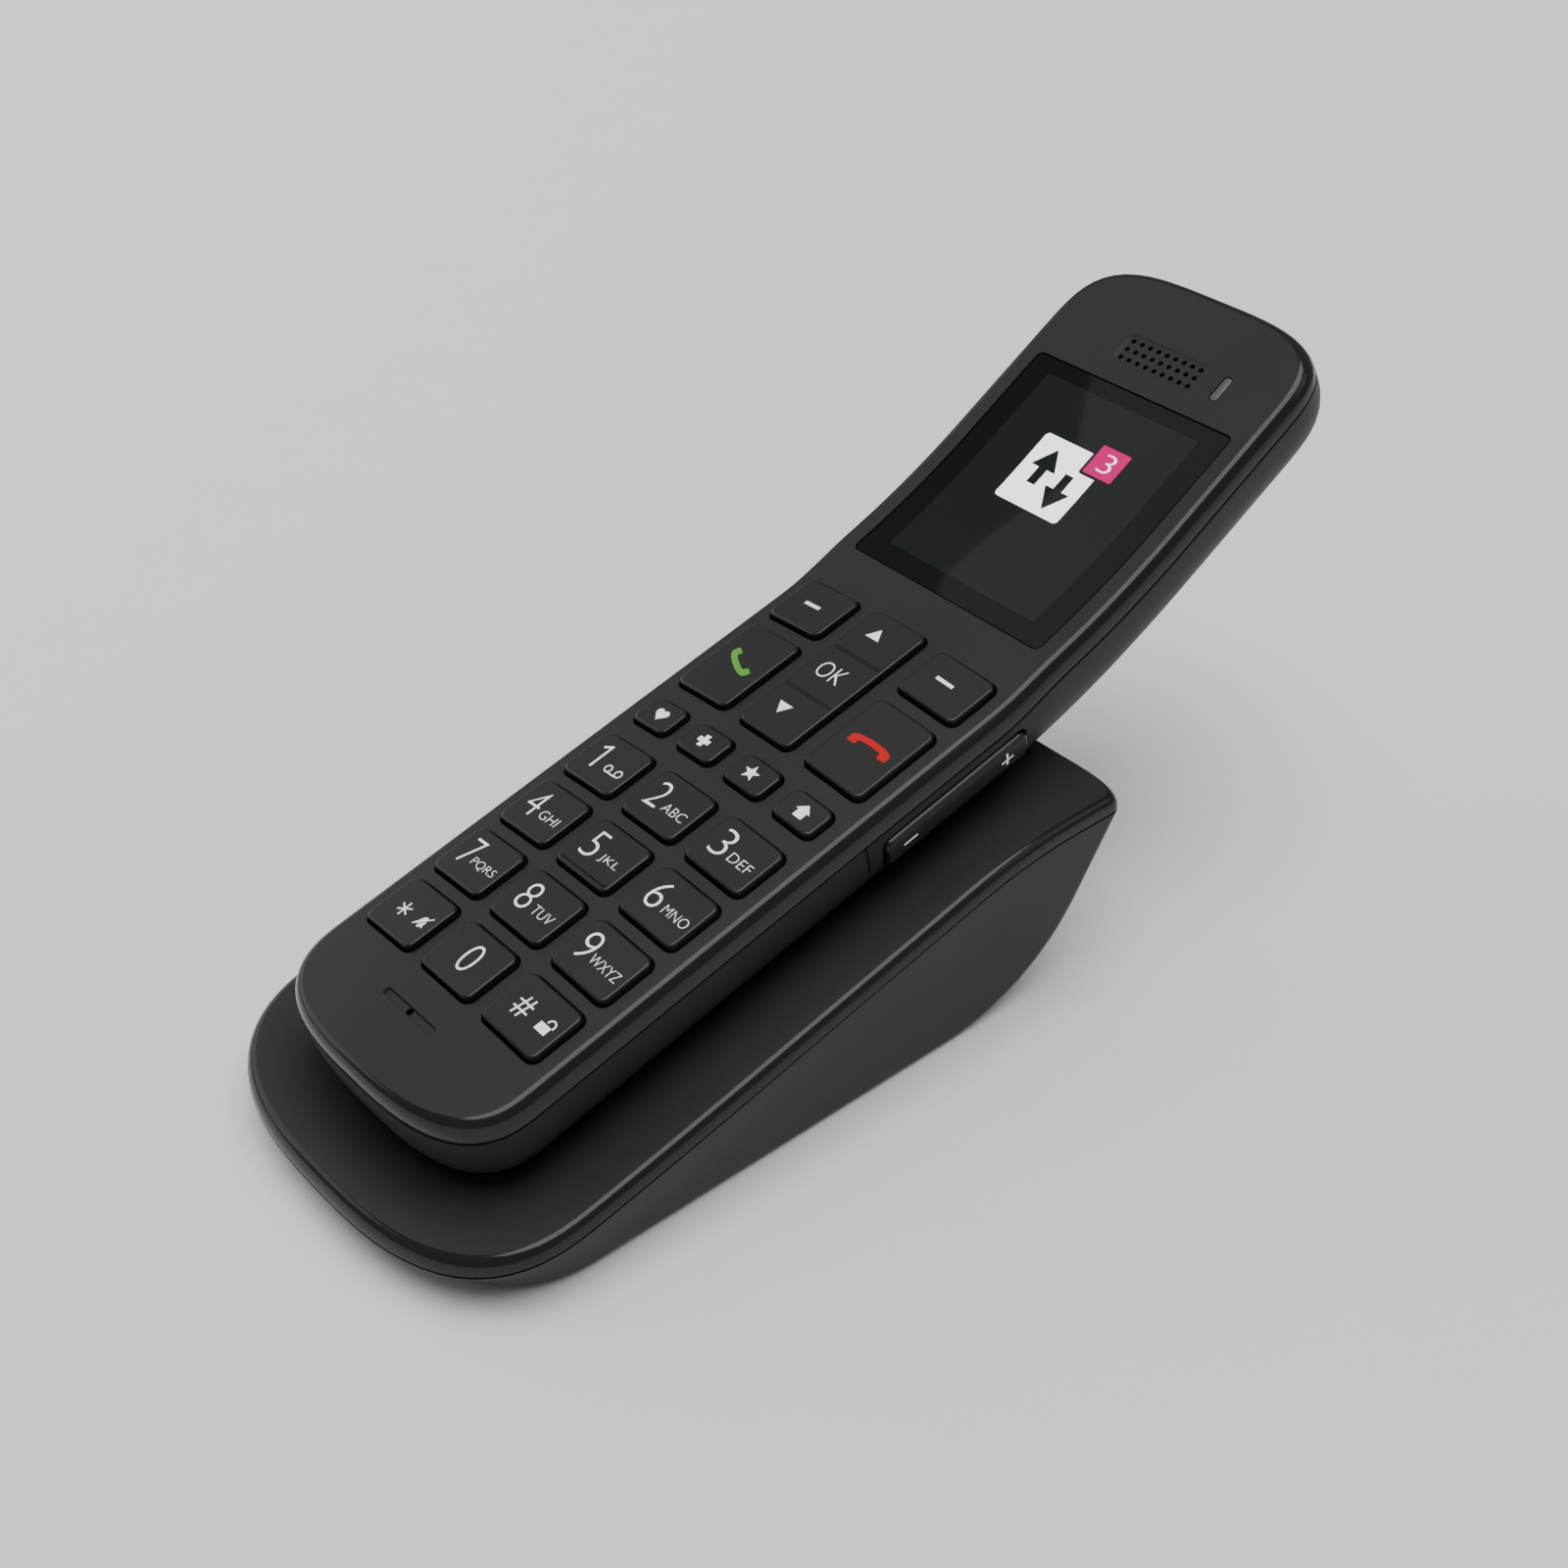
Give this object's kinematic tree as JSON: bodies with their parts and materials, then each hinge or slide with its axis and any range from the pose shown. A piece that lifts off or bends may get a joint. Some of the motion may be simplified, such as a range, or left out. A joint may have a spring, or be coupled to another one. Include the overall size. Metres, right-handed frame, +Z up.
{
  "type": "cordless phone with charging base",
  "caption": "Cordless telephone handset with keypad and colour display, lying in a wedge-shaped charging base with sprung contacts and a rear power inlet.",
  "frame": {"origin": "on the surface the feet stand on, at the middle of the whole docked phone's width and length", "axes": "+Z up, +Y from the microphone end to the earpiece end, +X to the side with the volume rocker"},
  "size_m": [0.067, 0.1748, 0.0829],
  "materials": {
    "shell_black": "fine satin grain, gloss on the bevelled edges",
    "key_black": "satin gloss",
    "bay_black": "moulded",
    "lens_black": "polished",
    "display": "lit liquid crystal panel",
    "board_green": "solder mask",
    "steel": "bright",
    "felt": "fine woven",
    "light_pipe": "frosted clear",
    "silicone": "soft silicone",
    "cell": "printed sleeve",
    "gold": "gold flash",
    "rubber": "soft"
  },
  "bodies": {
    "base": {"base_top_shell": "shell_black", "base_bottom_shell": "shell_black", "base_board": "board_green", "power_socket": "bay_black", "contact_block": "bay_black", "pin_spring_left": "steel", "pin_spring_right": "steel", "base_feet": "rubber", "base_screws": "steel"},
    "handset": {"front_shell": "shell_black", "back_shell": "shell_black", "battery_bay": "bay_black", "display_lens": "lens_black", "display_module": "display", "display_board": "board_green", "earpiece_speaker": "steel", "earpiece_felt": "felt", "light_pipe": "light_pipe", "microphone": "steel", "ringer_speaker": "steel", "keypad_mat": "silicone", "dome_switches": "steel", "rocker_switches": "steel", "main_board": "board_green", "battery_cell_left": "cell", "battery_cell_right": "cell", "battery_springs": "steel", "battery_plate": "steel", "charge_pads": "gold", "handset_screws": "steel"},
    "cover": {"battery_cover": "shell_black"},
    "key_1_body": {"key_1": "key_black"},
    "key_2_body": {"key_2": "key_black"},
    "key_3_body": {"key_3": "key_black"},
    "key_4_body": {"key_4": "key_black"},
    "key_5_body": {"key_5": "key_black"},
    "key_6_body": {"key_6": "key_black"},
    "key_7_body": {"key_7": "key_black"},
    "key_8_body": {"key_8": "key_black"},
    "key_9_body": {"key_9": "key_black"},
    "key_asterisk_body": {"key_asterisk": "key_black"},
    "key_0_body": {"key_0": "key_black"},
    "key_hash_body": {"key_hash": "key_black"},
    "key_heart_body": {"key_heart": "key_black"},
    "key_plus_body": {"key_plus": "key_black"},
    "key_star_body": {"key_star": "key_black"},
    "key_home_body": {"key_home": "key_black"},
    "soft_key_left_body": {"soft_key_left": "key_black"},
    "soft_key_right_body": {"soft_key_right": "key_black"},
    "call_key_body": {"call_key": "key_black"},
    "end_key_body": {"end_key": "key_black"},
    "plunger": {"ok_plunger": "silicone"},
    "nav_bar": {"nav_key": "key_black"},
    "rocker": {"volume_rocker": "key_black"},
    "pin_left": {"charge_pin_left": "gold"},
    "pin_right": {"charge_pin_right": "gold"}
  },
  "joints": [
    {"name": "handset_lift", "type": "slide", "parent": "base", "child": "handset", "axis": [0, -0.2504, 0.9681], "range_m": [0, 0.06]},
    {"name": "cover_slide", "type": "slide", "parent": "handset", "child": "cover", "axis": [0, -0.9681, -0.2504], "range_m": [0, 0.003]},
    {"name": "key_1_press", "type": "slide", "parent": "handset", "child": "key_1_body", "axis": [0, 0.2504, -0.9681], "range_m": [0, 0.0005], "stiffness_N_per_m": 800, "springref_m": -0.0005},
    {"name": "key_2_press", "type": "slide", "parent": "handset", "child": "key_2_body", "axis": [0, 0.2504, -0.9681], "range_m": [0, 0.0005], "stiffness_N_per_m": 800, "springref_m": -0.0005},
    {"name": "key_3_press", "type": "slide", "parent": "handset", "child": "key_3_body", "axis": [0, 0.2504, -0.9681], "range_m": [0, 0.0005], "stiffness_N_per_m": 800, "springref_m": -0.0005},
    {"name": "key_4_press", "type": "slide", "parent": "handset", "child": "key_4_body", "axis": [0, 0.2504, -0.9681], "range_m": [0, 0.0005], "stiffness_N_per_m": 800, "springref_m": -0.0005},
    {"name": "key_5_press", "type": "slide", "parent": "handset", "child": "key_5_body", "axis": [0, 0.2504, -0.9681], "range_m": [0, 0.0005], "stiffness_N_per_m": 800, "springref_m": -0.0005},
    {"name": "key_6_press", "type": "slide", "parent": "handset", "child": "key_6_body", "axis": [0, 0.2504, -0.9681], "range_m": [0, 0.0005], "stiffness_N_per_m": 800, "springref_m": -0.0005},
    {"name": "key_7_press", "type": "slide", "parent": "handset", "child": "key_7_body", "axis": [0, 0.2504, -0.9681], "range_m": [0, 0.0005], "stiffness_N_per_m": 800, "springref_m": -0.0005},
    {"name": "key_8_press", "type": "slide", "parent": "handset", "child": "key_8_body", "axis": [0, 0.2504, -0.9681], "range_m": [0, 0.0005], "stiffness_N_per_m": 800, "springref_m": -0.0005},
    {"name": "key_9_press", "type": "slide", "parent": "handset", "child": "key_9_body", "axis": [0, 0.2504, -0.9681], "range_m": [0, 0.0005], "stiffness_N_per_m": 800, "springref_m": -0.0005},
    {"name": "key_asterisk_press", "type": "slide", "parent": "handset", "child": "key_asterisk_body", "axis": [0, 0.2504, -0.9681], "range_m": [0, 0.0005], "stiffness_N_per_m": 800, "springref_m": -0.0005},
    {"name": "key_0_press", "type": "slide", "parent": "handset", "child": "key_0_body", "axis": [0, 0.2504, -0.9681], "range_m": [0, 0.0005], "stiffness_N_per_m": 800, "springref_m": -0.0005},
    {"name": "key_hash_press", "type": "slide", "parent": "handset", "child": "key_hash_body", "axis": [0, 0.2504, -0.9681], "range_m": [0, 0.0005], "stiffness_N_per_m": 800, "springref_m": -0.0005},
    {"name": "key_heart_press", "type": "slide", "parent": "handset", "child": "key_heart_body", "axis": [0, 0.2504, -0.9681], "range_m": [0, 0.0005], "stiffness_N_per_m": 800, "springref_m": -0.0005},
    {"name": "key_plus_press", "type": "slide", "parent": "handset", "child": "key_plus_body", "axis": [0, 0.2504, -0.9681], "range_m": [0, 0.0005], "stiffness_N_per_m": 800, "springref_m": -0.0005},
    {"name": "key_star_press", "type": "slide", "parent": "handset", "child": "key_star_body", "axis": [0, 0.2504, -0.9681], "range_m": [0, 0.0005], "stiffness_N_per_m": 800, "springref_m": -0.0005},
    {"name": "key_home_press", "type": "slide", "parent": "handset", "child": "key_home_body", "axis": [0, 0.2504, -0.9681], "range_m": [0, 0.0005], "stiffness_N_per_m": 800, "springref_m": -0.0005},
    {"name": "soft_key_left_press", "type": "slide", "parent": "handset", "child": "soft_key_left_body", "axis": [0, 0.2504, -0.9681], "range_m": [0, 0.0005], "stiffness_N_per_m": 800, "springref_m": -0.0005},
    {"name": "soft_key_right_press", "type": "slide", "parent": "handset", "child": "soft_key_right_body", "axis": [0, 0.2504, -0.9681], "range_m": [0, 0.0005], "stiffness_N_per_m": 800, "springref_m": -0.0005},
    {"name": "call_key_press", "type": "slide", "parent": "handset", "child": "call_key_body", "axis": [0, 0.2504, -0.9681], "range_m": [0, 0.0005], "stiffness_N_per_m": 800, "springref_m": -0.0005},
    {"name": "end_key_press", "type": "slide", "parent": "handset", "child": "end_key_body", "axis": [0, 0.2504, -0.9681], "range_m": [0, 0.0005], "stiffness_N_per_m": 800, "springref_m": -0.0005},
    {"name": "ok_press", "type": "slide", "parent": "handset", "child": "plunger", "axis": [0, 0.2504, -0.9681], "range_m": [0, 0.0005], "stiffness_N_per_m": 800, "springref_m": -0.0005},
    {"name": "nav_rock", "type": "hinge", "parent": "plunger", "child": "nav_bar", "pos_m": [0, 0.005, 0.04416], "axis": [1, 0, 0], "range_deg": [-2, 2], "stiffness_Nm_per_rad": 0.1},
    {"name": "volume_rock", "type": "hinge", "parent": "handset", "child": "rocker", "pos_m": [0.0218, 0.00653, 0.03784], "axis": [0, -0.2504, 0.9681], "range_deg": [-2, 2], "stiffness_Nm_per_rad": 0.1},
    {"name": "pin_left_press", "type": "slide", "parent": "base", "child": "pin_left", "axis": [0, 0, -1], "range_m": [0, 0.001], "stiffness_N_per_m": 400, "springref_m": -0.001, "deforming": ["pin_spring_left"]},
    {"name": "pin_right_press", "type": "slide", "parent": "base", "child": "pin_right", "axis": [0, 0, -1], "range_m": [0, 0.001], "stiffness_N_per_m": 400, "springref_m": -0.001, "deforming": ["pin_spring_right"]}
  ]
}
